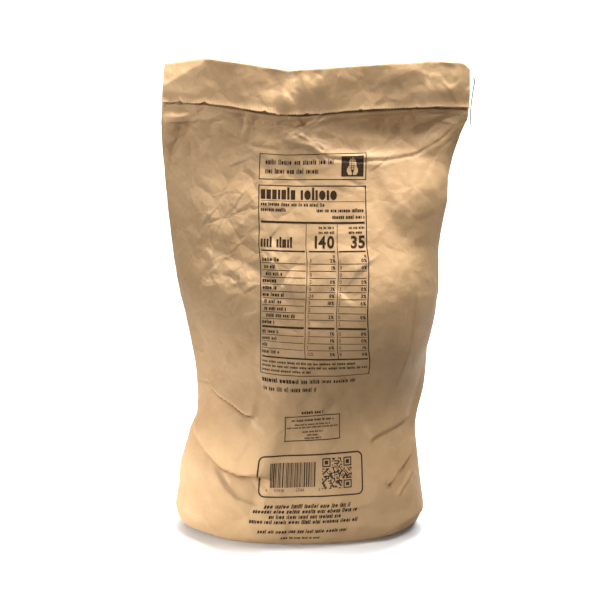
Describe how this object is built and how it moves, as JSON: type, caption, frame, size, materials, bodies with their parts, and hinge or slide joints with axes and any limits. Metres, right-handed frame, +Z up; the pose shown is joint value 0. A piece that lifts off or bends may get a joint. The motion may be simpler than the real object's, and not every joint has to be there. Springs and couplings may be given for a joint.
{
  "type": "bag of corn",
  "caption": "Tall filled kraft paper sack of popping corn, standing on its base, rounded below, flat and folded over to the front at the top, with a short grey pull cord.",
  "frame": {"origin": "on the ground, under the middle of the sack's overall box", "axes": "+Z up the sack, +X to the right of the printed face, which looks towards -Y"},
  "size_m": [0.4432, 0.219, 0.7128],
  "materials": {
    "kraft_paper": "matte natural kraft with a slight machine sheen",
    "print_ink": "matte dark brown flexographic ink",
    "cotton_cord": "matte twisted yarn"
  },
  "bodies": {
    "root": {"sack": "kraft_paper", "pull_cord": "cotton_cord"}
  },
  "joints": []
}
